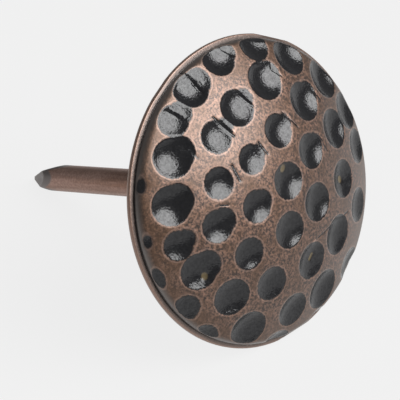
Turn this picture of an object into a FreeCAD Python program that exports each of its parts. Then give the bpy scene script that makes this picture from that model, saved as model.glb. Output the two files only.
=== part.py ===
import FreeCAD, Part
import math
import os

from FreeCAD import Placement, Rotation, Vector

# Upholstery tack with a hammered dome head. Lengths are millimetres, angles are degrees.
#
# The head is a cap pressed from steel sheet, open underneath. A round-nosed punch has
# dimpled it all over, and the sheet bulges inward under the deeper dimples. The nail is
# a piece of wire with a flared foot, butt-welded to a flat seat in the middle of the cap,
# and its point is pinched off by four slanting cuts.
#
# Each piece is first made in the tack's own axes: Z runs along the nail towards the
# crown of the head, and Z = 0 is the plane of the rim. X is the side that faces up when
# the tack lies down. At the end both pieces are laid as a dropped tack comes to rest,
# on the edge of its rim and on its point.

# Head
HEAD_DIAMETER = 19.0
CROWN_RADIUS = 18.0
SHOULDER_RADIUS = 0.6
SHOULDER_HEIGHT = 0.45
SHEET_THICKNESS = 0.8
INNER_CHAMFER = 0.3

# Lip round the foot of the head's wall, with a fine groove above it
LIP_WIDTH = 0.27
LIP_HEIGHT = 0.3
GROOVE_DEPTH = 0.09
GROOVE_WIDTH = 0.1

# The outermost blows pushed the lip out a little. Between them it stands in, in shallow
# flats, given as the bearing and the depth of each. The tack rests on the first of them.
REST_FLAT_DEPTH = 0.12
LIP_FLATS = ((180, REST_FLAT_DEPTH), (202, 0.1), (246, 0.08), (330, 0.1), (28, 0.06))

# Punch
NOSE_RADIUS = 2.5
DIMPLE_FLOOR_THICKNESS = 0.55

# The dimples sit in rings about a centre that missed the middle of the head.
PATTERN_CENTRE_X = 0.6
PATTERN_CENTRE_Y = -0.6
RINGS_IN_RADIUS = 3.45

# The dimples were struck by eye. Each blow is given as its bearing about the pattern's
# centre, how far outside its ring it fell as a share of the rings' pitch, and the width
# of the dimple that it left.
RINGS = (
    ((68, 0.07, 2.4),),
    ((44, 0.15, 1.9), (98, 0.07, 2.1), (160, 0.07, 2.4),
     (219, 0.00, 2.5), (291, -0.07, 2.3), (352, 0.11, 2.2)),
    ((17, 0.00, 2.4), (41, 0.07, 2.1), (69, -0.15, 2.0), (95, 0.07, 2.1),
     (125, -0.15, 2.1), (152, 0.25, 2.3), (185, 0.00, 2.5), (213, 0.18, 2.7),
     (248, -0.11, 2.5), (282, 0.00, 2.6), (316, -0.15, 2.6), (348, 0.18, 2.6)),
    ((7, -0.04, 2.3), (27, -0.04, 2.4), (43, 0.00, 2.0), (58, -0.15, 2.5),
     (78, -0.11, 2.5), (95, -0.04, 1.9), (110, -0.15, 2.4), (132, -0.22, 2.5),
     (149, 0.29, 2.6), (171, -0.04, 2.4), (191, -0.04, 2.8), (211, 0.29, 2.3),
     (235, -0.25, 2.3), (263, -0.25, 2.3), (281, -0.22, 2.5), (302, -0.25, 2.7),
     (326, -0.25, 2.6), (346, -0.07, 2.2)),
    ((103, -0.44, 1.5), (119, -0.51, 1.8),
     (133, -0.40, 1.7), (166, -0.44, 2.0), (187, -0.51, 1.5)),
)

# Nail
SHANK_DIAMETER = 1.8
SHANK_REACH = 22.0
FOOT_DIAMETER = 3.4
FOOT_EDGE = 0.25
FOOT_FLARE_LENGTH = 0.8
SEAT_MARGIN = 0.15
SEAT_DEPTH = 0.4

# The cuts that made the point, as the bearing and the length of each. They meet in a
# small blunt square that lies off the wire's axis.
POINT_CUTS = ((-22, 3.4), (68, 2.1), (158, 2.0), (248, 2.4))
TIP_HALF_WIDTH = 0.11
TIP_OFFSET = 0.12
TIP_OFFSET_BEARING = 158

# How closely the resting pose is found
RISE_TOLERANCE = 1e-7

# Derived sizes
HEAD_RADIUS = HEAD_DIAMETER / 2
RING_PITCH = HEAD_RADIUS / RINGS_IN_RADIUS
WALL_RADIUS = HEAD_RADIUS - LIP_WIDTH
SHANK_RADIUS = SHANK_DIAMETER / 2
FOOT_RADIUS = FOOT_DIAMETER / 2
SHOULDER_CENTRE_RADIUS = WALL_RADIUS - SHOULDER_RADIUS
CROWN_TO_SHOULDER = CROWN_RADIUS - SHOULDER_RADIUS
CROWN_CENTRE_HEIGHT = SHOULDER_HEIGHT - math.sqrt(CROWN_TO_SHOULDER**2 - SHOULDER_CENTRE_RADIUS**2)
CROWN_EDGE_SLOPE = math.asin(SHOULDER_CENTRE_RADIUS / CROWN_TO_SHOULDER)
WALL_SLOPE = math.pi / 2
HEAD_HEIGHT = CROWN_CENTRE_HEIGHT + CROWN_RADIUS
INNER_CROWN_RADIUS = CROWN_RADIUS - SHEET_THICKNESS
INNER_WALL_RADIUS = WALL_RADIUS - SHEET_THICKNESS
INNER_CROWN_REACH = INNER_WALL_RADIUS - INNER_CHAMFER
SEAT_HEIGHT = HEAD_HEIGHT - SHEET_THICKNESS - SEAT_DEPTH
AXIS = Vector(0, 0, 1)
ORIGIN = Vector(0, 0, 0)


def at(radius, height):
    """A point of a turned outline, drawn in the XZ plane."""
    return Vector(radius, 0, height)


def turned(outline):
    """The solid that an outline sweeps as it turns about the axis."""
    edges = [Part.LineSegment(start, end).toShape() for start, end in zip(outline, outline[1:])]
    return Part.Face(Part.Wire(edges)).revolve(ORIGIN, AXIS, 360)


def ball(centre, radius, facing):
    """A ball whose poles and seam are turned away from the side that is used."""
    sphere = Part.makeSphere(radius)
    sphere.Placement = Placement(centre, Rotation(Vector(1, 0, 0), facing))
    return sphere


def crowned(crown_radius, side):
    """A round body closed by a crown, with its side drawn downward from the crown's edge."""
    above = HEAD_HEIGHT + CROWN_RADIUS
    body = turned([at(0, above), at(side[0].x, above)] + side + [ORIGIN, at(0, above)])
    return body.common(ball(at(0, CROWN_CENTRE_HEIGHT), crown_radius, AXIS))


def shoulder_point(slope):
    """The point of the rounded shoulder that has this slope, in radians."""
    return at(SHOULDER_CENTRE_RADIUS + SHOULDER_RADIUS * math.sin(slope),
              SHOULDER_HEIGHT + SHOULDER_RADIUS * math.cos(slope))


def dome_blank():
    """The head before the punch, filled in: crown, shoulder in two bevels, wall, groove and lip."""
    return crowned(CROWN_RADIUS, [
        shoulder_point(CROWN_EDGE_SLOPE),
        shoulder_point((CROWN_EDGE_SLOPE + WALL_SLOPE) / 2),
        shoulder_point(WALL_SLOPE),
        at(WALL_RADIUS, LIP_HEIGHT + GROOVE_WIDTH),
        at(WALL_RADIUS - GROOVE_DEPTH, LIP_HEIGHT),
        at(HEAD_RADIUS, LIP_HEIGHT),
        at(HEAD_RADIUS, 0),
    ])


def outside_flat(bearing, depth):
    """The space outside one flat of the lip."""
    block = Part.makeBox(HEAD_RADIUS, HEAD_DIAMETER, HEAD_DIAMETER,
                         Vector(HEAD_RADIUS - depth, -HEAD_RADIUS, -HEAD_RADIUS))
    block.rotate(ORIGIN, AXIS, bearing)
    return block


def surface_at(distance):
    """Height and slope of the head's outer surface at a distance from the axis."""
    if distance < CROWN_RADIUS * math.sin(CROWN_EDGE_SLOPE):
        slope = math.asin(distance / CROWN_RADIUS)
        return CROWN_CENTRE_HEIGHT + CROWN_RADIUS * math.cos(slope), slope
    slope = math.asin((distance - SHOULDER_CENTRE_RADIUS) / SHOULDER_RADIUS)
    return shoulder_point(slope).z, slope


def blows():
    """Every blow: the point that is struck, the way out of the metal, the dimple's width."""
    for ring, struck in enumerate(RINGS):
        for bearing, stray, width in struck:
            reach = (ring + stray) * RING_PITCH
            x = PATTERN_CENTRE_X + reach * math.cos(math.radians(bearing))
            y = PATTERN_CENTRE_Y + reach * math.sin(math.radians(bearing))
            height, slope = surface_at(math.hypot(x, y))
            outward = Vector(x, y, 0).normalize() * math.sin(slope) + AXIS * math.cos(slope)
            yield Vector(x, y, height), outward, width


def nose_clearance(width):
    """How far the centre of the punch's nose stays above the struck point."""
    return math.sqrt(NOSE_RADIUS**2 - (width / 2) ** 2)


def punch():
    """The punch's nose at the end of each blow."""
    return [ball(point + outward * nose_clearance(width), NOSE_RADIUS, outward)
            for point, outward, width in blows()]


def bulges():
    """What the deeper blows that land clear of the wall push out on the inside of the cap."""
    radius = NOSE_RADIUS + DIMPLE_FLOOR_THICKNESS
    for point, outward, width in blows():
        to_inner_side = nose_clearance(width) + SHEET_THICKNESS
        if to_inner_side >= radius:
            continue
        half_width = math.sqrt(radius**2 - to_inner_side**2)
        if math.hypot(point.x, point.y) + half_width < INNER_CROWN_REACH:
            yield ball(point + outward * nose_clearance(width), radius, outward)


def hollow():
    """The space inside the cap: an offset of the dome, less the bulges and the nail's seat."""
    edge_height = CROWN_CENTRE_HEIGHT + math.sqrt(INNER_CROWN_RADIUS**2 - INNER_CROWN_REACH**2)
    space = crowned(INNER_CROWN_RADIUS, [
        at(INNER_CROWN_REACH, edge_height),
        at(INNER_WALL_RADIUS, edge_height - INNER_CHAMFER),
        at(INNER_WALL_RADIUS, 0),
    ])
    seat = Part.makeCylinder(FOOT_RADIUS + SEAT_MARGIN, HEAD_HEIGHT, at(0, SEAT_HEIGHT))
    return space.cut([seat] + list(bulges()))


def domed_cap():
    """The pressed and punched head."""
    flats = [outside_flat(bearing, depth) for bearing, depth in LIP_FLATS]
    return dome_blank().cut(flats).cut(punch()).cut(hollow())


def point_cut(bearing, length):
    """The metal that one slanting cut takes off the end of the wire."""
    from_axis = TIP_HALF_WIDTH + TIP_OFFSET * math.cos(math.radians(bearing - TIP_OFFSET_BEARING))
    slant = math.atan2(SHANK_RADIUS - from_axis, length)
    size = 2 * length + SHANK_DIAMETER
    block = Part.makeBox(size, size, size, Vector(0, -size / 2, -size / 2))
    block.rotate(ORIGIN, Vector(0, 1, 0), math.degrees(slant))
    block.translate(Vector(from_axis, 0, -SHANK_REACH))
    block.rotate(ORIGIN, AXIS, bearing)
    return block


def nail_shank():
    """The wire nail, from its welded foot to its point."""
    foot_side = SEAT_HEIGHT - FOOT_EDGE
    blank = turned([
        at(0, SEAT_HEIGHT),
        at(FOOT_RADIUS, SEAT_HEIGHT),
        at(FOOT_RADIUS, foot_side),
        at(SHANK_RADIUS, foot_side - FOOT_FLARE_LENGTH),
        at(SHANK_RADIUS, -SHANK_REACH),
        at(0, -SHANK_REACH),
        at(0, SEAT_HEIGHT),
    ])
    return blank.cut([point_cut(bearing, length) for bearing, length in POINT_CUTS])


def lying(rise):
    """Turns the tack so that its crown faces +X and its axis rises this much."""
    return Rotation(Vector(0, 1, 0), 90 - rise).multiply(Rotation(AXIS, 180))


def box_when_lying(shape, rise):
    laid = shape.copy()
    laid.Placement = Placement(ORIGIN, lying(rise))
    return laid.optimalBoundingBox(False)


def resting_place(cap, nail):
    """Sets rim and nail both on the ground, halving the range of rises that is left."""
    low, high = 0, 90
    while high - low > RISE_TOLERANCE:
        rise = (low + high) / 2
        rim_bottom = (REST_FLAT_DEPTH - HEAD_RADIUS) * math.cos(math.radians(rise))
        if box_when_lying(nail, rise).ZMin > rim_bottom:
            low = rise
        else:
            high = rise
    box = box_when_lying(Part.makeCompound([cap, nail]), rise)
    return Placement(Vector(-box.Center.x, -box.Center.y, -box.ZMin), lying(rise)), rise


os.makedirs("parts", exist_ok=True)
pieces = {"domed_cap": domed_cap(), "nail_shank": nail_shank()}
place, axis_rise = resting_place(pieces["domed_cap"], pieces["nail_shank"])
for name, shape in pieces.items():
    laid = shape.copy()
    laid.Placement = place
    laid.exportStep(f"parts/{name}.step")
    print(name, "volume", round(laid.Volume, 2), "solids", len(laid.Solids), "valid", laid.isValid())
print("axis rises", axis_rise, "degrees, along", place.Rotation.multVec(AXIS), "from", place.Base)
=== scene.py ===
# %% [markdown]
# # A hammered upholstery tack
#
# A decorative upholstery tack is a pressed steel cap on a wire nail. The cap is hammered all
# over, plated with copper, blackened, and rubbed so that the ridges shine again. This lesson
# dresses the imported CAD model: the head and the nail are each worked out as one fine surface
# of the same form, and the antiqued finish is built from nodes.

import bpy
import numpy as np
from mathutils import Matrix, Vector


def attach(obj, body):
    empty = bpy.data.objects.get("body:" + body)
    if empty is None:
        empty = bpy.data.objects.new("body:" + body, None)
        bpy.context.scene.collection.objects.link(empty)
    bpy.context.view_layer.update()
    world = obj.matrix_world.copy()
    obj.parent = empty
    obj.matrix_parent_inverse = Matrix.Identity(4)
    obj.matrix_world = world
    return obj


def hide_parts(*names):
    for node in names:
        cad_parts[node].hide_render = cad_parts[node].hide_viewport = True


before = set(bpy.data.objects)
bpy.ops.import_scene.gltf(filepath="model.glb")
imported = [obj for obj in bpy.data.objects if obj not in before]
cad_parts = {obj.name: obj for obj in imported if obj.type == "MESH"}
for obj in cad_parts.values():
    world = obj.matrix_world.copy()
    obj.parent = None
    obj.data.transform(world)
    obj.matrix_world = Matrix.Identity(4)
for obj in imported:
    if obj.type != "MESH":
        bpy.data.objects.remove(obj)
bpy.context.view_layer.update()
print("CAD pieces:", sorted(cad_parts))

# %% [markdown]
# The tack lies on the edge of its rim and on its point. Its shapes are simplest to write in
# its own axes, in millimetres: z runs along the nail towards the crown, z = 0 is the plane of
# the rim, and x is the side that faces up. One function then lays any points on the ground,
# in metres, where the CAD model has them.

# %% The tack's own axes
MM = 0.001
AXIS_RISE = np.radians(22.4653)
RIM_CENTRE = np.array([7.94523, 0.0, 8.66817])


def laid(points):
    """Turns points so that z rises AXIS_RISE above +X, and moves the origin to the rim's centre."""
    x, y, z = np.moveaxis(np.asarray(points, float), -1, 0)
    sine, cosine = np.sin(AXIS_RISE), np.cos(AXIS_RISE)
    turned = np.stack([cosine * z - sine * x, -y, cosine * x + sine * z], axis=-1)
    return (turned + RIM_CENTRE) * MM


print("rim centre on the ground plan, mm:", RIM_CENTRE[:2])

# %% [markdown]
# The head's section is a few arcs: a crown of 18 mm radius, a small rounded shoulder, a short
# wall, a fine groove and a lip. A round surface only needs its section, as radius and height,
# and the normal at each place, so that the punch knows which way is in. Both follow from the
# slope, the angle between the surface and the plane of the rim. All lengths are in millimetres.

# %% The head's section
HEAD_RADIUS = 9.5
LIP_WIDTH = 0.27
WALL_RADIUS = HEAD_RADIUS - LIP_WIDTH
CROWN_RADIUS = 18.0
SHOULDER_RADIUS = 0.6
SHOULDER_HEIGHT = 0.45
SHEET = 0.8  # its thickness
FOOT_Z = 2.141  # where the nail's foot is welded to the inside
SHOULDER_REACH = WALL_RADIUS - SHOULDER_RADIUS
CROWN_CENTRE = SHOULDER_HEIGHT - np.sqrt((CROWN_RADIUS - SHOULDER_RADIUS) ** 2 - SHOULDER_REACH**2)
CROWN_EDGE_SLOPE = np.arcsin(SHOULDER_REACH / (CROWN_RADIUS - SHOULDER_RADIUS))


def section(slope):
    """Radius and height of the outside where it has this slope, on the crown or on the shoulder.

    On both arcs the distance grows with the sine of the slope, and the height with its cosine.
    """
    on_crown = slope <= CROWN_EDGE_SLOPE
    arc = np.where(on_crown, CROWN_RADIUS, SHOULDER_RADIUS)
    radius = np.where(on_crown, 0.0, SHOULDER_REACH) + arc * np.sin(slope)
    height = np.where(on_crown, CROWN_CENTRE, SHOULDER_HEIGHT) + arc * np.cos(slope)
    return radius, height


def slope_at(distance):
    """Slope of the outside at a distance from the axis: the arcsine of the distance over the arc."""
    on_crown = distance < CROWN_RADIUS * np.sin(CROWN_EDGE_SLOPE)
    crown_sine = np.minimum(distance / CROWN_RADIUS, 1)
    shoulder_sine = np.clip((distance - SHOULDER_REACH) / SHOULDER_RADIUS, 0, 1)
    return np.where(on_crown, np.arcsin(crown_sine), np.arcsin(shoulder_sine))


print("crown ends at a slope of %.1f degrees" % np.degrees(CROWN_EDGE_SLOPE))

# %% [markdown]
# The dimples are the heart of the object. They were struck by eye in rings, with a round-nosed
# punch, so each one has its own bearing in degrees, its stray from the ring as a share of the
# pitch, and its width in millimetres. Some blows landed twice, which left a thin crescent beside
# the dimple. The blows are kept as one array, a row for each.

# %% The punch's blows
PATTERN_CENTRE = np.array([0.6, -0.6])
RING_PITCH = HEAD_RADIUS / 3.45
NOSE_RADIUS = 2.5
RINGS = (
    ((68, 0.07, 2.4),),
    ((44, 0.15, 1.9), (98, 0.07, 2.1), (160, 0.07, 2.4), (219, 0.00, 2.5), (291, -0.07, 2.3),
     (352, 0.11, 2.2)),
    ((17, 0.00, 2.4), (41, 0.07, 2.1), (69, -0.15, 2.0), (95, 0.07, 2.1), (125, -0.15, 2.1),
     (152, 0.25, 2.3), (185, 0.00, 2.5), (213, 0.18, 2.7), (248, -0.11, 2.5), (282, 0.00, 2.6),
     (316, -0.15, 2.6), (348, 0.18, 2.6)),
    ((7, -0.04, 2.3), (27, -0.04, 2.4), (43, 0.00, 2.0), (58, -0.15, 2.5), (78, -0.11, 2.5),
     (95, -0.04, 1.9), (110, -0.15, 2.4), (132, -0.22, 2.5), (149, 0.29, 2.6), (171, -0.04, 2.4),
     (191, -0.04, 2.8), (211, 0.29, 2.3), (235, -0.25, 2.3), (263, -0.25, 2.3), (281, -0.22, 2.5),
     (302, -0.25, 2.7), (326, -0.25, 2.6), (346, -0.07, 2.2)),
    ((69, -0.58, 0.8), (89, -0.51, 0.7), (103, -0.44, 1.5), (119, -0.51, 1.8), (133, -0.40, 1.7),
     (166, -0.44, 2.0), (187, -0.51, 1.5)),
)


def struck(reach, bearing, width):
    """Rows of x, y and width: distance times cosine and sine of the bearing, from the centre."""
    turn = np.radians(bearing)
    return np.stack([PATTERN_CENTRE[0] + reach * np.cos(turn),
                     PATTERN_CENTRE[1] + reach * np.sin(turn), width], axis=-1)


listed = np.array([(ring + stray, bearing, width)
                   for ring, row in enumerate(RINGS) for bearing, stray, width in row])
blows = struck(listed[:, 0] * RING_PITCH, listed[:, 1], listed[:, 2])

# The punch often bounced, and always to the same side: which blow, how far it jumped, width in mm
BOUNCE_BEARING = np.radians(291)
BOUNCES = np.array([
    (20, 0.65, 1.9), (21, 0.65, 1.5), (8, 0.80, 1.2), (7, 0.80, 1.3), (19, 0.60, 1.8), (22, 0.50, 2.1),
    (23, 0.45, 2.1), (25, 0.50, 2.0), (10, 0.45, 1.7), (1, 0.60, 1.0), (6, 0.60, 1.3), (5, 0.55, 1.5),
    (18, 0.60, 1.8), (17, 0.60, 1.8), (24, 0.50, 1.3), (2, 0.50, 1.4), (36, 0.50, 1.6),
])
jump = BOUNCES[:, 1, None] * [np.cos(BOUNCE_BEARING), np.sin(BOUNCE_BEARING)]
bounces = np.column_stack([blows[BOUNCES[:, 0].astype(int), :2] + jump, BOUNCES[:, 2]])
strikes = np.concatenate([blows, bounces])
print(len(blows), "dimples,", len(bounces), "with a second touch of the punch")

# %% [markdown]
# How deep does a blow leave each place of the surface? The punch's nose is a ball, so the
# answer is where the inward normal leaves the ball. Outside the dimple the answer turns
# negative, which is just as useful: it says how far away the dimple's edge is. The deepest
# blow wins, and a soft maximum rounds the crest between two dimples as rubbing does.

# %% Depth of the hammered surface
CREST_SOFTNESS = 0.022
FAR_FROM_DIMPLES = -1.0  # mm, stands for a ball that the normal misses


def outside(distance, bearing_unit, slope):
    """Points and normals of the smooth outside at these distances from the axis."""
    height = section(slope)[1]
    point = np.concatenate([distance[..., None] * bearing_unit, height[..., None]], axis=-1)
    normal = np.concatenate([np.sin(slope)[..., None] * bearing_unit, np.cos(slope)[..., None]], axis=-1)
    return point, normal


def nose_centres(rows):
    """Centres of the punch's nose, above the struck places by what the dimple's width leaves."""
    distance = np.hypot(rows[:, 0], rows[:, 1])
    point, normal = outside(distance, rows[:, :2] / distance[:, None], slope_at(distance))
    clearance = np.sqrt(NOSE_RADIUS**2 - (rows[:, 2] / 2) ** 2)
    return point + normal * clearance[:, None]


def depths(point, normal, rows, radius=NOSE_RADIUS):
    """Signed depth of every blow at every point: the root of |point - d * normal - centre| = radius."""
    to_centre = nose_centres(rows)[:, None] - point.reshape(1, -1, 3)
    along = (to_centre * normal.reshape(1, -1, 3)).sum(-1)
    inside = along**2 + radius**2 - (to_centre**2).sum(-1)
    hit = (inside > 0) & (along > 0)
    return np.where(hit, np.sqrt(np.maximum(inside, 0)) - along, FAR_FROM_DIMPLES)


def softest(values, softness):
    """A rounded maximum of zero and all the rows: softness * log(1 + sum of exp(value / softness))."""
    # Clipped, because an exponential of much more than this doesn't fit in a number
    within = np.clip(values / softness, -60, 60)
    return softness * np.log1p(np.exp(within).sum(0))


def hammered(point, normal):
    """The surface moved inward by the blows' depth, and the deepest single depth at each point."""
    every = depths(point, normal, strikes)
    depth = softest(every, CREST_SOFTNESS).reshape(point.shape[:-1])
    edge = every.max(0).reshape(point.shape[:-1])
    return point - normal * depth[..., None], edge


widest = blows[:, 2].max()
print("the widest dimple, %.1f mm, is %.2f mm deep on a flat sheet"
      % (widest, NOSE_RADIUS - np.sqrt(NOSE_RADIUS**2 - (widest / 2) ** 2)))

# %% [markdown]
# The hammering also left short straight nicks, most of them on the upper right of a dimple,
# where the punch's edge touched the metal, and one crease runs across the lower right. A nick is
# a line on the surface where the metal goes in by a bell-shaped amount, and the patina darkens
# it. A negative depth is a burr, which stands proud and is painted pale: partly rubbed copper,
# partly a painted highlight for the light that its edge catches.

# %% Nicks and stains
# Ends of the line as x, y, x, y, then half width and depth, all in mm
NICKS = np.array([
    (8.85, 2.95, 8.07, 2.61, 0.09, 0.06), (8.07, 2.61, 7.37, 2.52, 0.09, 0.06),
    (8.71, 2.69, 7.97, 2.14, 0.07, -0.03), (5.94, 2.74, 4.49, 2.07, 0.08, 0.07),
    (5.72, 2.35, 4.75, 1.92, 0.05, -0.03), (6.75, 0.51, 5.55, -0.08, 0.08, 0.07),
    (6.60, 0.12, 5.80, -0.30, 0.05, -0.03), (4.84, -5.26, 3.76, -5.64, 0.06, 0.05),
    (8.43, 3.48, 8.14, 3.85, 0.06, 0.04), (7.29, 5.08, 6.77, 4.64, 0.06, 0.04),
    (7.29, 4.83, 6.69, 4.31, 0.06, -0.03), (9.10, -0.35, 8.47, -0.79, 0.07, 0.04),
    (4.86, 4.85, 4.26, 4.80, 0.05, 0.04), (7.57, -1.43, 7.27, -2.78, 0.05, -0.03),
    (7.12, -3.02, 6.80, -2.91, 0.05, 0.04), (6.80, -2.91, 6.20, -3.27, 0.05, 0.04),
    (4.45, -1.88, 3.20, -2.62, 0.05, 0.04), (3.61, 0.70, 2.72, 0.41, 0.07, 0.05),
    (2.13, -4.16, 0.88, -4.48, 0.05, 0.04), (3.03, 2.99, 2.03, 2.86, 0.08, 0.06),
    (1.19, 4.53, 1.02, 4.09, 0.05, 0.04), (-3.52, -5.27, -3.54, -3.07, 0.05, 0.05),
    (-3.54, -3.07, -3.70, -1.84, 0.05, 0.05), (-3.70, -1.53, -4.11, -0.51, 0.05, -0.03),
    (4.00, 8.18, 3.75, 8.30, 0.34, 0.04), (0.85, 8.97, 0.62, 9.00, 0.32, 0.04),
])
# Pits where the plating failed and the steel stained ochre: a line again, then half width and depth
PITS = np.array([
    (-2.55, 6.46, -2.64, 6.49, 0.22, 0.06), (1.52, -0.40, 1.46, -0.37, 0.24, 0.05),
    (-1.38, -5.50, -1.48, -5.49, 0.22, 0.06), (-4.68, -1.42, -4.96, -1.20, 0.12, 0.06),
    (-6.60, -4.76, -7.40, -4.57, 0.20, 0.06),
])


def bell(distance, width):
    """One at the middle and almost nothing at twice the width: exp of minus (distance / width) squared."""
    return np.exp(-((distance / width) ** 2))


def on_outside(places):
    """The points of the smooth outside above these x, y places."""
    distance = np.hypot(places[:, 0], places[:, 1])
    return outside(distance, places / distance[:, None], slope_at(distance))[0]


def near_lines(point, lines):
    """A bell round each line, for every point: rows of lines, columns of points.

    A point's distance is to the nearest place on the line, at the share of its length that the
    dot product gives, kept between the two ends.
    """
    start, end = on_outside(lines[:, 0:2]), on_outside(lines[:, 2:4])
    along = (end - start)[:, None]
    offset = point.reshape(1, -1, 3) - start[:, None]
    share = np.clip((offset * along).sum(-1) / (along**2).sum(-1), 0, 1)
    return bell(np.linalg.norm(offset - share[..., None] * along, axis=-1), lines[:, 4, None])


def marked(point, normal):
    """The surface after punch, nicks and pits, with what the finish needs to know of each point."""
    struck_point, edge = hammered(point, normal)
    nicks = near_lines(point, NICKS)
    pits = near_lines(point, PITS)
    sunk = (nicks * NICKS[:, 5, None]).sum(0) + (pits * PITS[:, 5, None]).sum(0)
    struck_point = struck_point - normal * sunk.reshape(edge.shape)[..., None]
    dark = (nicks * (NICKS[:, 5, None] > 0)).max(0)
    # Burrs are painted pale later: partly rubbed copper, partly a painted highlight on their raised edge.
    bright = (nicks * (NICKS[:, 5, None] < 0)).max(0)
    known = {"dimple": edge.ravel(), "nick": dark, "burr": bright, "ochre": pits.max(0)}
    return struck_point, known


print(len(NICKS), "nicks and burrs,", len(PITS), "pits")

# %% [markdown]
# The mesh of the crown is a square grid bent into a disc, because a disc of plain rings would
# crowd its triangles at the apex. The grid's border has as many points as one ring, so rings
# carry on from it down the shoulder, round the lip, under the rim, up the inner wall and over
# the inside of the crown to the nail's seat.

# %% A grid bent into a disc
GRID = 114  # steps from the middle to a side, which keeps the head under 200,000 triangles


def disc_grid(steps):
    """Share of the radius and bearing at each grid point: each square of the grid becomes a circle.

    The share is the larger of |i| and |j| over the steps. The bearing is a quarter turn for each
    side, and along it 45 degrees times the smaller over the larger.
    """
    i, j = np.meshgrid(np.arange(-steps, steps + 1), np.arange(-steps, steps + 1), indexing="ij")
    wide = np.abs(i) >= np.abs(j)
    major, minor = np.where(wide, i, j), np.where(wide, j, i)
    part = np.pi / 4 * np.divide(minor, major, out=np.zeros(i.shape), where=major != 0)
    bearing = np.where(wide, part, np.pi / 2 - part) + np.where(major < 0, np.pi, 0)
    return np.maximum(np.abs(i), np.abs(j)) / steps, bearing


def border(steps):
    """Indices of the grid's border points, in the order of their bearing."""
    side = 2 * steps
    run = np.arange(side)
    index = np.arange((side + 1) ** 2).reshape(side + 1, side + 1)
    return np.concatenate([index[side, run], index[side - run, side], index[0, side - run], index[run, 0]])


def grid_faces(steps):
    """Four-sided faces of the grid, as rows of indices."""
    index = np.arange((2 * steps + 1) ** 2).reshape(2 * steps + 1, -1)
    return np.stack([index[:-1, :-1], index[1:, :-1], index[1:, 1:], index[:-1, 1:]], -1).reshape(-1, 4)


def ring_faces(index):
    """Four-sided faces between closed rings of indices, one ring to a row."""
    following = np.roll(index, -1, axis=1)
    return np.stack([index[:-1], index[1:], following[1:], following[:-1]], -1).reshape(-1, 4)


share, bearing = disc_grid(GRID)
edge_order = border(GRID)
edge_bearing = bearing.ravel()[edge_order]
print("the grid's border has", len(edge_order), "points")

# %% [markdown]
# The outermost blows pushed the lip out a little, and between them it stands in, in shallow
# flats. The lip's section is listed as radius and height, from the wall's foot, round the
# rolled edge, to the inner wall.

# %% The crown, shoulder and lip
SHOULDER_STEPS = 9
LIP_FLATS = np.array([(180, 0.12), (202, 0.10), (246, 0.08), (330, 0.10), (28, 0.06)])  # bearing, depth
LIP_SECTION = np.array([
    (9.20, 0.390), (9.15, 0.340), (9.15, 0.315), (9.20, 0.300), (9.42, 0.300), (9.47, 0.280),
    (9.50, 0.220), (9.50, 0.060), (9.47, 0.015), (9.42, 0.000), (8.45, 0.000), (8.43, 0.030),
    (8.43, 0.190),
])


def flattened(radius, turn):
    """The radius, no further out than the chord of any flat: its distance over the cosine."""
    apart = turn[:, None] - np.radians(LIP_FLATS[:, 0])
    # Held at 60 degrees, far past the ends of a flat, where the cosine goes to nothing
    chord = (HEAD_RADIUS - LIP_FLATS[:, 1]) / np.maximum(np.cos(apart), 0.5)
    return np.minimum(radius, chord.min(1))


slope = share * CROWN_EDGE_SLOPE
unit = np.stack([np.cos(bearing), np.sin(bearing)], -1)
crown_points, crown_finish = marked(*outside(section(slope)[0], unit, slope))

edge_unit = np.stack([np.cos(edge_bearing), np.sin(edge_bearing)], -1)
side_slope = np.linspace(CROWN_EDGE_SLOPE, np.pi / 2, SHOULDER_STEPS)[1:]
side_slope = np.repeat(side_slope[:, None], len(edge_order), axis=1)
side_unit = np.broadcast_to(edge_unit, side_slope.shape + (2,))
side_points, side_finish = marked(*outside(section(side_slope)[0], side_unit, side_slope))

lip_points = np.stack([
    np.column_stack([flattened(radius, edge_bearing)[:, None] * edge_unit, np.full(len(edge_order), height)])
    for radius, height in LIP_SECTION])
print("shoulder and lip have", len(side_points) + len(lip_points), "rings")

# %% [markdown]
# Inside, the sheet follows the crown 0.8 mm further in, and the deeper blows bulge through it.
# The same depth formula serves, with a ball as large as the nose and the sheet left under it.
# The rings end at the flat seat that the nail's foot is welded to.

# %% The inside of the cap
INNER_RADIUS = CROWN_RADIUS - SHEET
CORNER = 0.3  # mm that the inner crown stops short of the inner wall
INNER_REACH = WALL_RADIUS - SHEET - CORNER
FLOOR_THICKNESS = 0.55  # mm of sheet left under the bottom of a dimple
SEAT_RADIUS = 1.85
INNER_RINGS = 28

inner_slope = np.arcsin(np.linspace(INNER_REACH, SEAT_RADIUS, INNER_RINGS) / INNER_RADIUS)
inner_slope = np.repeat(inner_slope[:, None], len(edge_order), axis=1)
inner_unit = np.broadcast_to(edge_unit, inner_slope.shape + (2,))
inner_normal = np.concatenate(
    [np.sin(inner_slope)[..., None] * inner_unit, np.cos(inner_slope)[..., None]], axis=-1)
inner_points = INNER_RADIUS * inner_normal + [0, 0, CROWN_CENTRE]
bulge = depths(inner_points, inner_normal, blows, NOSE_RADIUS + FLOOR_THICKNESS).max(0)
inner_points = inner_points - inner_normal * np.maximum(bulge, 0).reshape(inner_slope.shape)[..., None]
seat_points = np.column_stack([SEAT_RADIUS * edge_unit, np.full(len(edge_order), FOOT_Z)])
print("bulges stand in by up to %.2f mm" % bulge.max())

# %% [markdown]
# A mesh goes into Blender as whole arrays: places, corners of faces, and a few numbers on each
# point. Those numbers carry what the geometry knows to the finish, such as how far inside a
# dimple a point lies. One of them is the point's place in the tack's own axes, in millimetres,
# for the noise textures to run on.

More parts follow.
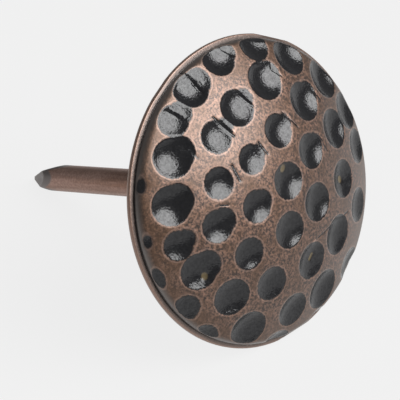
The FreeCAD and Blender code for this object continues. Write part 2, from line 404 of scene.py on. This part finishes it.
# %% From arrays to a mesh
def mesh_piece(name, points, face_groups, finish):
    """A new smooth-shaded object at the origin, with the finish's numbers on its points."""
    mesh = bpy.data.meshes.new(name)
    mesh.vertices.add(len(points))
    mesh.vertices.foreach_set("co", laid(points).astype(np.float32).ravel())
    corners = np.concatenate([faces.ravel() for faces in face_groups])
    sizes = np.concatenate([np.full(len(faces), faces.shape[1]) for faces in face_groups])
    mesh.loops.add(len(corners))
    mesh.loops.foreach_set("vertex_index", corners.astype(np.int32))
    mesh.polygons.add(len(sizes))
    mesh.polygons.foreach_set("loop_start", (np.cumsum(sizes) - sizes).astype(np.int32))
    mesh.polygons.foreach_set("use_smooth", np.ones(len(sizes), bool))
    mesh.update(calc_edges=True)
    own = mesh.attributes.new("own", "FLOAT_VECTOR", "POINT")
    own.data.foreach_set("vector", points.astype(np.float32).ravel())
    for label, values in finish.items():
        mesh.attributes.new(label, "FLOAT", "POINT").data.foreach_set("value", values.astype(np.float32))
    piece = bpy.data.objects.new(name, mesh)
    bpy.context.scene.collection.objects.link(piece)
    print(name, len(points), "points", int((sizes - 2).sum()), "triangles")
    return piece


# %% [markdown]
# The head is the grid of the crown and then all the rings, in the order in which they were
# made. The crown's border is the first ring, and the last one is closed by a single face, the
# seat. The lip stands out, so it's painted pale all round, as a burr is: partly rubbed copper,
# partly a painted highlight for the light on its rolled edge.

# %% The head's mesh
LIP_INSIDE = 9.2  # mm from the axis
LIP_TOP = 0.31
LIP_RUB_AND_HIGHLIGHT = 0.45

rings = np.concatenate([side_points, lip_points, inner_points, seat_points[None]])
crown_count = crown_points.size // 3
marked_count = crown_count + side_points.size // 3
ring_index = crown_count + np.arange(rings.size // 3).reshape(rings.shape[:2])
head_points = np.concatenate([crown_points.reshape(-1, 3), rings.reshape(-1, 3)])
head_finish = {}
for label in crown_finish:
    unmarked = FAR_FROM_DIMPLES if label == "dimple" else 0.0
    plain = np.full(len(head_points) - marked_count, unmarked)
    head_finish[label] = np.concatenate([crown_finish[label], side_finish[label], plain])
head_finish["reach"] = np.hypot(head_points[:, 0], head_points[:, 1])
head_finish["height"] = head_points[:, 2]
# Painted highlight: the lip is painted pale all round, partly as rubbed copper and partly for the light on
# its rolled edge.
on_lip = (head_finish["reach"] > LIP_INSIDE) & (head_finish["height"] < LIP_TOP)
head_finish["burr"] = np.maximum(head_finish["burr"], LIP_RUB_AND_HIGHLIGHT * on_lip)
head = mesh_piece("hammered_head", head_points,
                  [grid_faces(GRID), ring_faces(np.vstack([edge_order, ring_index])), ring_index[-1:]],
                  head_finish)
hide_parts("domed_cap")
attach(head, "root")

# %% [markdown]
# The nail is drawn wire, 1.8 mm thick. Its surface is given by the reach, the distance from
# the centre line in each direction at each height. The pinch that made the point also bent it
# a little, so near the tip the centre line leans, and the wall's reach is that of a circle seen
# off its middle.

# %% The wire's centre line and wall
WIRE_RADIUS = 0.9
WIRE_SIDES = 128
POINT_Z = -22.0
TAPER = 4  # mm of the point that is bent and finely divided
TIP_OFFSET = 0.12 * np.array([np.cos(np.radians(158)), np.sin(np.radians(158))])
BELOW_FLARE = 1.05
FLARE_TOP = 1.891

# The rings lie closest at the point, where the cuts meet, and in the flare
point_z = np.linspace(POINT_Z, POINT_Z + TAPER, 90)
body_z = np.linspace(POINT_Z + TAPER, BELOW_FLARE, 60)[1:]
flare_z = np.linspace(BELOW_FLARE, FLARE_TOP, 12)[1:]
wire_z = np.concatenate([point_z, body_z, flare_z])
wire_turn = np.linspace(0, 2 * np.pi, WIRE_SIDES, endpoint=False)
wire_unit = np.stack([np.cos(wire_turn), np.sin(wire_turn)], -1)

bend = np.clip((POINT_Z + TAPER - wire_z) / TAPER, 0, 1)[:, None] * TIP_OFFSET
leaning = bend @ wire_unit.T
# Root of radius squared - bend squared + leaning squared, less leaning: from a point inside a
# circle to the circle, where leaning is how far the point lies in that direction
wall_reach = np.sqrt(WIRE_RADIUS**2 - (bend**2).sum(1)[:, None] + leaning**2) - leaning
print("the wire is divided into", len(wire_z), "rings of", WIRE_SIDES, "points")

# %% [markdown]
# The point was pinched off by four slanting cuts, and the foot flares for the weld. A cut is a
# plane, so its reach is its distance from the centre line over the cosine of the angle off it.
# The surface is the nearest of five things, the wall and the four cuts, and a soft minimum
# rounds the edges between them by a few hundredths of a millimetre.

# %% The point and the foot
CUTS = np.array([(-22, 3.4), (68, 2.1), (158, 2.0), (248, 2.4)])  # bearing, length
TIP_HALF_WIDTH = 0.11
LEAST_FACING = 0.05  # cosine below which a cut is as good as never reached
NEVER = 9.0
EDGE_SOFTNESS = 0.012
FLARE_START = 1.091
FLARE = 0.8  # mm that the foot stands out all round

cut_turn = np.radians(CUTS[:, 0])
cut_unit = np.stack([np.cos(cut_turn), np.sin(cut_turn)], -1)
from_axis = TIP_HALF_WIDTH + cut_unit @ TIP_OFFSET
cut_slant = (WIRE_RADIUS - from_axis) / CUTS[:, 1]
cut_far = from_axis + (wire_z[:, None] - POINT_Z) * cut_slant - bend @ cut_unit.T
facing = np.cos(wire_turn[None] - cut_turn[:, None])[:, None, :]
facing_well = np.maximum(facing, LEAST_FACING)
cut_reach = np.where(facing > LEAST_FACING, cut_far.T[:, :, None] / facing_well, NEVER)
# The soft minimum is minus softness times the log of the sum of exp(-reach / softness)
every_reach = np.concatenate([wall_reach[None], cut_reach])
wire_reach = -EDGE_SOFTNESS * np.log(np.exp(-every_reach / EDGE_SOFTNESS).sum(0))
flared = np.clip((wire_z - FLARE_START) / FLARE, 0, 1)
wire_reach = wire_reach + (FLARE * flared)[:, None]
print("the foot is %.1f mm wide and the tip %.2f mm" % (2 * wire_reach[-1].max(), 2 * wire_reach[0].min()))

# %% [markdown]
# The rings are joined into a tube, with a face at each end. Plating is thin at a cut edge and
# wears off a little further back than the cuts reach, so the bare steel is painted by the same
# cuts, made a bit longer.

# %% The nail's mesh
WORN = 0.9  # mm further back
WORN_EDGE = 0.06  # mm over which the plating thins out

wire_points = np.concatenate([bend[:, None] + wire_reach[..., None] * wire_unit,
                              np.broadcast_to(wire_z[:, None, None], wire_reach.shape + (1,))], -1)
foot_top = wire_points[-1].copy()
foot_top[:, 2] = FOOT_Z
wire_rings = np.concatenate([wire_points, foot_top[None]])
wire_index = np.arange(wire_rings.size // 3).reshape(wire_rings.shape[:2])
# These rings run towards the crown and the head's ran away from it, so the corners turn round
wire_faces = ring_faces(wire_index)[:, [0, 3, 2, 1]]
ends = np.stack([wire_index[0, ::-1], wire_index[-1]])

worn_slant = (WIRE_RADIUS - from_axis) / (CUTS[:, 1] + WORN)
worn_far = from_axis + (wire_z[:, None] - POINT_Z) * worn_slant - bend @ cut_unit.T
worn_reach = worn_far.T[:, :, None] / facing_well
worn = np.clip((wall_reach - worn_reach.min(0)) / WORN_EDGE + 0.5, 0, 1)
cut_metal = np.concatenate([worn.ravel(), np.zeros(WIRE_SIDES)])
nail = mesh_piece("wire_nail", wire_rings.reshape(-1, 3), [wire_faces, ends], {"cut": cut_metal})
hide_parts("nail_shank")
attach(nail, "root")

# %% [markdown]
# Every finish below is a small tree of nodes. One function adds a node: it takes the node's
# settings by name, and its inputs as numbers, colours or other nodes' outputs. Colours are
# written as hex values, as a paint chart gives them, and turned to linear light by one function.

# %% Helpers for materials
def linear(hex_colour):
    """An sRGB hex colour in linear light with alpha: a power of 2.4, or a straight line when dark."""
    srgb = np.array([int(hex_colour[i:i + 2], 16) for i in (1, 3, 5)]) / 255
    rgb = np.where(srgb <= 0.04045, srgb / 12.92, ((srgb + 0.055) / 1.055) ** 2.4)
    return (*rgb, 1.0)


def add(tree, kind, output, inputs, **settings):
    """Adds a node, sets it, sets or links its inputs, and returns the output asked for."""
    node = tree.nodes.new(kind)
    for name, value in settings.items():
        setattr(node, name, value)
    for key, value in inputs.items():
        if isinstance(value, bpy.types.NodeSocket):
            tree.links.new(value, node.inputs[key])
        else:
            node.inputs[key].default_value = value
    return node.outputs[output] if node.outputs else node


def new_material(name):
    """A material of this name with an empty tree of nodes."""
    material = bpy.data.materials.new(name)
    material.use_nodes = True
    material.node_tree.nodes.clear()
    return material


print("the middle grey #808080 is %.2f in linear light" % linear("#808080")[0])

# %% [markdown]
# Antique copper: the cap is plated with copper, dipped in a blackening bath, rubbed and
# lacquered. The black stays in the dimples and the nicks, and spills a little over their edges.
# To the eye it is a dark gloss that mirrors the softbox. The mesh knows how deep each point lies
# in a dimple, so the black follows the real edge, and a noise frays it. All noises run on the
# tack's own axes, in millimetres, so a scale is one over the size in mm.

# %% Where the black stays
FRAY_SIZE = 0.2  # mm, the ragged bays and spurs of the black's edge
FRAY_DEPTH = 0.022  # mm of the dimple's depth that the edge wanders by
SPILL = 0.008  # mm of depth that the black goes past the dimple's edge
FADE = 0.015  # mm of depth over which it thins out

copper = new_material("antique_copper")
tree = copper.node_tree
own = add(tree, "ShaderNodeAttribute", "Vector", {}, attribute_name="own")
dimple, nick, burr, ochre, reach_at, height_at = [
    add(tree, "ShaderNodeAttribute", "Fac", {}, attribute_name=name)
    for name in ("dimple", "nick", "burr", "ochre", "reach", "height")]

fray = add(tree, "ShaderNodeTexNoise", "Fac",
           {"Vector": own, "Scale": 1 / FRAY_SIZE, "Detail": 4, "Roughness": 0.7})
frayed = add(tree, "ShaderNodeMapRange", "Result",
             {"Value": fray, "From Min": 0.3, "From Max": 0.7, "To Min": -FRAY_DEPTH, "To Max": FRAY_DEPTH})
edge = add(tree, "ShaderNodeMath", 0, {0: dimple, 1: frayed}, operation="ADD")
in_dimple = add(tree, "ShaderNodeMapRange", "Result",
                {"Value": edge, "From Min": -SPILL - FADE, "From Max": -SPILL + FADE})
nick_edge = add(tree, "ShaderNodeMath", 0, {0: nick, 1: frayed}, operation="ADD")
in_nick = add(tree, "ShaderNodeMapRange", "Result", {"Value": nick_edge, "From Min": 0.25, "From Max": 0.6})
print("the black's edge wanders by %.3f mm of depth, in bays of %.1f mm" % (FRAY_DEPTH, FRAY_SIZE))

# %% [markdown]
# The cloth can't reach into the groove between the lip and the shoulder, so that is black too.
# It needs no number of its own, because it is the only place at its height.

# %% Black in the groove
above_lip = add(tree, "ShaderNodeMapRange", "Result",
                {"Value": height_at, "From Min": LIP_TOP - 0.02, "From Max": LIP_TOP})
below_crown = add(tree, "ShaderNodeMapRange", "Result",
                  {"Value": height_at, "From Min": 0.52, "From Max": 0.42})
in_groove = add(tree, "ShaderNodeMath", 0, {0: above_lip, 1: below_crown}, operation="MULTIPLY")
black = add(tree, "ShaderNodeMath", 0, {0: in_dimple, 1: in_nick}, operation="MAXIMUM")
black = add(tree, "ShaderNodeMath", 0, {0: black, 1: in_groove}, operation="MAXIMUM")
print("the groove starts %.2f mm above the rim" % LIP_TOP)

# %% [markdown]
# On the ridges the rubbed copper is never clean, and reads as a warm, dusty brown. Black is
# left in its pores as a speckle, and the bath left brown stains that gather by the rim. The
# wall above the groove is painted grey: a painted reflection of the pale surroundings on its
# turned-out face.

# %% Copper with pores, stains and a painted reflection
PORE_SPACING = 0.1667  # mm; the real pores are too fine to show, so they're drawn coarser
STAIN_SIZE = 0.909  # mm

speckle = add(tree, "ShaderNodeTexNoise", "Fac",
              {"Vector": own, "Scale": 1 / PORE_SPACING, "Detail": 5, "Roughness": 0.75})
clean = add(tree, "ShaderNodeMapRange", "Result", {"Value": speckle, "From Min": 0.43, "From Max": 0.60})
colour = add(tree, "ShaderNodeMix", 2,
             {0: clean, 6: linear("#2b1f19"), 7: linear("#8a6957")}, data_type="RGBA")

stain = add(tree, "ShaderNodeTexNoise", "Fac",
            {"Vector": own, "Scale": 1 / STAIN_SIZE, "Detail": 4, "Roughness": 0.6})
by_rim = add(tree, "ShaderNodeMapRange", "Result",
             {"Value": reach_at, "From Min": 7.6, "From Max": 8.9, "To Min": 0.0, "To Max": 0.22})
stain = add(tree, "ShaderNodeMath", 0, {0: stain, 1: by_rim}, operation="ADD")
stained = add(tree, "ShaderNodeMapRange", "Result",
              {"Value": stain, "From Min": 0.42, "From Max": 0.70, "To Min": 0.0, "To Max": 0.7})
colour = add(tree, "ShaderNodeMix", 2, {0: stained, 6: colour, 7: linear("#523823")}, data_type="RGBA")

# Painted reflection: the wall just above the groove is painted grey, standing in for the pale surroundings
# that it mirrors, not for a colour of the metal.
painted_grey_reflection = add(tree, "ShaderNodeMapRange", "Result",
             {"Value": height_at, "From Min": 0.95, "From Max": 0.60, "To Min": 0.0, "To Max": 0.8})
painted_grey_reflection = add(tree, "ShaderNodeMath", 0, {0: painted_grey_reflection, 1: above_lip}, operation="MULTIPLY")
colour = add(tree, "ShaderNodeMix", 2, {0: painted_grey_reflection, 6: colour, 7: linear("#6e6b69")}, data_type="RGBA")
print("pores %.2f mm apart, stains about %.1f mm across" % (PORE_SPACING, STAIN_SIZE))

# %% [markdown]
# The crests stand highest, so the cloth rubbed them brightest: a pale line runs round each
# dimple, just outside the black. The line is partly that wear and partly a painted highlight, for
# the light that the rounded crests catch. How far inside a dimple a point lies is negative there,
# so the line is where that number is near one small negative value. Burrs and the lip get the
# same pale paint, also partly rub and partly painted highlight.

# %% Crests rubbed bright and painted highlights
RUB_WIDTH = 0.035  # mm of depth

# Painted highlight: this pale line is partly copper rubbed on the crests and partly the light that the
# rounded crests catch, painted in.
crest = add(tree, "ShaderNodeMath", 0, {0: edge, 1: SPILL + RUB_WIDTH}, operation="ADD")
off_crest = add(tree, "ShaderNodeMath", 0, {0: crest, 1: 0.0}, operation="ABSOLUTE")
rub_and_painted_highlight = add(tree, "ShaderNodeMapRange", "Result",
             {"Value": off_crest, "From Min": 0.0, "From Max": RUB_WIDTH, "To Min": 0.28, "To Max": 0.0})
rub_and_painted_highlight = add(tree, "ShaderNodeMath", 0, {0: rub_and_painted_highlight, 1: burr}, operation="MAXIMUM")
colour = add(tree, "ShaderNodeMix", 2, {0: rub_and_painted_highlight, 6: colour, 7: linear("#b9998a")}, data_type="RGBA")
print("bright line from %.3f to %.3f mm outside the dimple's edge" % (SPILL, SPILL + 2 * RUB_WIDTH))

# %% [markdown]
# The two surfaces are put together: black lacquer where the black stays, copper elsewhere, and
# a few pits where the plating failed and the steel stained ochre. Only bare copper is a metal
# to the light. The lacquer and the rust over it are not.

# %% Black, copper and rust
colour = add(tree, "ShaderNodeMix", 2, {0: black, 6: colour, 7: linear("#151517")}, data_type="RGBA")
rusted = add(tree, "ShaderNodeMapRange", "Result", {"Value": ochre, "From Min": 0.35, "From Max": 0.7})
colour = add(tree, "ShaderNodeMix", 2, {0: rusted, 6: colour, 7: linear("#564b36")}, data_type="RGBA")
covered = add(tree, "ShaderNodeMath", 0, {0: black, 1: rusted}, operation="MAXIMUM")
bare = add(tree, "ShaderNodeMath", 0, {0: 1.0, 1: covered}, operation="SUBTRACT")
print("colours done,", len(tree.nodes), "nodes so far")

# %% [markdown]
# The lacquer in the dimples is smooth, so it gives clear reflections, and the rubbed copper
# blurs them. Lacquer dries with a faint orange peel, which makes the reflections wavy, and its
# specular level varies with the grain, so the gloss is patchy. On the copper it is a thin,
# dull coat.

# %% Gloss of the lacquer and the copper
GRAIN_SIZE = 0.1667  # mm; the scratches of the rubbing are too fine to show, so they're drawn coarser
PEEL_SIZE = 0.1176  # mm
PEEL_HEIGHT = 0.013  # mm

grain = add(tree, "ShaderNodeTexNoise", "Fac",
            {"Vector": own, "Scale": 1 / GRAIN_SIZE, "Detail": 5, "Roughness": 0.8})
rough_copper = add(tree, "ShaderNodeMapRange", "Result",
                   {"Value": grain, "From Min": 0.3, "From Max": 0.7, "To Min": 0.42, "To Max": 0.60})
rough_black = add(tree, "ShaderNodeMapRange", "Result",
                  {"Value": grain, "From Min": 0.3, "From Max": 0.7, "To Min": 0.10, "To Max": 0.24})
roughness = add(tree, "ShaderNodeMix", 0, {0: covered, 2: rough_copper, 3: rough_black})
gloss = add(tree, "ShaderNodeMapRange", "Result",
            {"Value": grain, "From Min": 0.38, "From Max": 0.62, "To Min": 0.33, "To Max": 0.63})
orange_peel = add(tree, "ShaderNodeTexNoise", "Fac",
                  {"Vector": own, "Scale": 1 / PEEL_SIZE, "Detail": 1.0, "Roughness": 0.5})
bump = add(tree, "ShaderNodeBump", "Normal",
           {"Height": orange_peel, "Strength": 1.0, "Distance": PEEL_HEIGHT * MM})
shader = add(tree, "ShaderNodeBsdfPrincipled", 0, {
    "Base Color": colour, "Metallic": bare, "Roughness": roughness, "Normal": bump,
    "Specular IOR Level": gloss, "Coat Weight": bare, "Coat Roughness": 0.38})
add(tree, "ShaderNodeOutputMaterial", 0, {"Surface": shader})
head.data.materials.append(copper)
print(copper.name, "has", len(tree.nodes), "nodes")

# %% [markdown]
# Plated wire: the nail had the same bath, but its plating is thin, and the die that drew the
# wire left lines along it. So the noise is stretched lengthwise, and the eye sees a satin metal
# with dark pores. The faces of the point were cut after plating and are bare steel, a plain grey.

# %% Plated wire
LINE_WIDTH = 0.4545  # mm; the real drawing lines are too fine to show, so they're drawn coarser
LINE_STRETCH = 16.67  # times as long as they are wide
WIRE_PORES = 0.1429  # mm
LINE_HEIGHT = 0.02  # mm

wire = new_material("plated_wire")
tree = wire.node_tree
own = add(tree, "ShaderNodeAttribute", "Vector", {}, attribute_name="own")
cut = add(tree, "ShaderNodeAttribute", "Fac", {}, attribute_name="cut")
along = add(tree, "ShaderNodeMapping", "Vector", {"Vector": own, "Scale": (1, 1, 1 / LINE_STRETCH)})
streak = add(tree, "ShaderNodeTexNoise", "Fac",
             {"Vector": along, "Scale": 1 / LINE_WIDTH, "Detail": 3, "Roughness": 0.6})
speckle = add(tree, "ShaderNodeTexNoise", "Fac",
              {"Vector": own, "Scale": 1 / WIRE_PORES, "Detail": 4, "Roughness": 0.7})
streaked = add(tree, "ShaderNodeMapRange", "Result", {"Value": streak, "From Min": 0.35, "From Max": 0.65})
colour = add(tree, "ShaderNodeMix", 2,
             {0: streaked, 6: linear("#8f6f60"), 7: linear("#b5968a")}, data_type="RGBA")
pores = add(tree, "ShaderNodeMapRange", "Result",
            {"Value": speckle, "From Min": 0.6, "From Max": 0.42, "To Min": 0.0, "To Max": 0.4})
colour = add(tree, "ShaderNodeMix", 2, {0: pores, 6: colour, 7: linear("#57443a")}, data_type="RGBA")
colour = add(tree, "ShaderNodeMix", 2, {0: cut, 6: colour, 7: linear("#736d6b")}, data_type="RGBA")
rough = add(tree, "ShaderNodeMapRange", "Result",
            {"Value": streak, "From Min": 0.3, "From Max": 0.7, "To Min": 0.38, "To Max": 0.5})
bump = add(tree, "ShaderNodeBump", "Normal",
           {"Height": streak, "Strength": 0.3, "Distance": LINE_HEIGHT * MM})
shader = add(tree, "ShaderNodeBsdfPrincipled", 0,
             {"Base Color": colour, "Metallic": 1.0, "Roughness": rough, "Normal": bump})
add(tree, "ShaderNodeOutputMaterial", 0, {"Surface": shader})
nail.data.materials.append(wire)
print(wire.name, "has", len(tree.nodes), "nodes")

# %% [markdown]
# The tack lies on a plain pale floor. Part of the floor's paleness is its own colour under the
# lamp, and part is added for the camera and for reflections, so that the shadow stays but is
# faint.

# %% Floor
GLOW_SHARE = 0.93
FLOOR_REACH = 3  # m

pale = new_material("pale_floor")
tree = pale.node_tree
path = add(tree, "ShaderNodeLightPath", "Is Camera Ray", {}).node.outputs
reflected = add(tree, "ShaderNodeMath", 0,
                {0: path["Is Glossy Ray"], 1: path["Is Transmission Ray"]}, operation="MAXIMUM")
seen = add(tree, "ShaderNodeMath", 0, {0: path["Is Camera Ray"], 1: reflected}, operation="MAXIMUM")
glowing = add(tree, "ShaderNodeMath", 0, {0: seen, 1: GLOW_SHARE}, operation="MULTIPLY")
matt = add(tree, "ShaderNodeBsdfDiffuse", 0, {"Color": linear("#c8c8c8")})
glow = add(tree, "ShaderNodeEmission", 0, {"Color": linear("#f2f2f2"), "Strength": 1.0})
mixed = add(tree, "ShaderNodeMixShader", 0, {"Fac": glowing, 1: matt, 2: glow})
add(tree, "ShaderNodeOutputMaterial", 0, {"Surface": mixed})

floor_mesh = bpy.data.meshes.new("floor")
floor_corners = [(x * FLOOR_REACH, y * FLOOR_REACH, 0) for x, y in ((-1, -1), (1, -1), (1, 1), (-1, 1))]
floor_mesh.from_pydata(floor_corners, [], [(0, 1, 2, 3)])
floor = bpy.data.objects.new("floor", floor_mesh)
floor.data.materials.append(pale)
bpy.context.scene.collection.objects.link(floor)
print("floor", 2 * FLOOR_REACH, "m across")

# %% [markdown]
# One big round softbox makes the picture: its mirror image is the pale patch in each black
# dimple. Seen from the tack it stands 66 degrees to the right of the camera and 44 degrees up.
# The room adds a dim even fill. What counts for the picture is how large the lamp looks from
# the tack and how bright its face is, so the function takes those two and works out the watts.

# %% Light
LAMP_DIRECTION = Vector((0.6685, 0.264, 0.6957)).normalized()
LAMP_DISTANCE = 0.8  # m
LAMP_HALF_ANGLE = np.radians(26)
LAMP_RADIANCE = 7.4
ROOM_LEVEL = 0.22


def softbox(name, direction, distance, half_angle, radiance):
    """A round lamp of this half angle and radiance as seen from the tack.

    Its width is twice the distance times the tangent of the half angle, and its power is the
    radiance times pi times the area of its face.
    """
    light = bpy.data.lights.new(name, "AREA")
    light.shape = "DISK"
    light.size = float(2 * distance * np.tan(half_angle))
    light.energy = float(radiance * np.pi * np.pi * (light.size / 2) ** 2)
    lamp = bpy.data.objects.new(name, light)
    facing_tack = direction.to_track_quat("Z", "Y").to_matrix().to_4x4()
    lamp.matrix_world = Matrix.Translation(direction * distance) @ facing_tack
    bpy.context.scene.collection.objects.link(lamp)
    return lamp


lamp = softbox("softbox", LAMP_DIRECTION, LAMP_DISTANCE, LAMP_HALF_ANGLE, LAMP_RADIANCE)
world = bpy.data.worlds.new("room")
world.use_nodes = True
world.node_tree.nodes["Background"].inputs["Color"].default_value = (ROOM_LEVEL, ROOM_LEVEL, ROOM_LEVEL, 1)
bpy.context.scene.world = world
bpy.context.scene.view_settings.view_transform = "Standard"
print("softbox %.2f m wide, %.1f W" % (lamp.data.size, lamp.data.energy))

# %% [markdown]
# The camera stands 120 mm away, 34 degrees above the floor, with a long lens. Its place is
# given from the rim's centre, which is a little right of and above the middle of the picture.

# %% Camera
CAMERA_AZIMUTH = np.radians(45.429)
CAMERA_ELEVATION = np.radians(34.138)
CAMERA_ROLL = np.radians(-0.242)
CAMERA_DISTANCE = 120.79  # mm
RIM_RIGHT = 2.993  # mm, the rim's centre from the middle of the picture
RIM_ABOVE = 0.526

back = Vector((np.sin(CAMERA_AZIMUTH) * np.cos(CAMERA_ELEVATION),
               -np.cos(CAMERA_AZIMUTH) * np.cos(CAMERA_ELEVATION), np.sin(CAMERA_ELEVATION)))
level_right = Vector((np.cos(CAMERA_AZIMUTH), np.sin(CAMERA_AZIMUTH), 0))
right = Matrix.Rotation(CAMERA_ROLL, 3, back) @ level_right
up = back.cross(right)
eye = Vector(RIM_CENTRE) + back * CAMERA_DISTANCE - right * RIM_RIGHT - up * RIM_ABOVE
camera_data = bpy.data.cameras.new("camera")
camera_data.lens = 180
camera_data.sensor_width = 36
camera_data.clip_start = 0.01
camera_data.clip_end = 10
camera = bpy.data.objects.new("camera", camera_data)
camera.matrix_world = Matrix.Translation(eye * MM) @ Matrix((right, up, back)).transposed().to_4x4()
bpy.context.scene.collection.objects.link(camera)
bpy.context.scene.camera = camera
print("camera at", [round(v, 2) for v in eye], "mm")
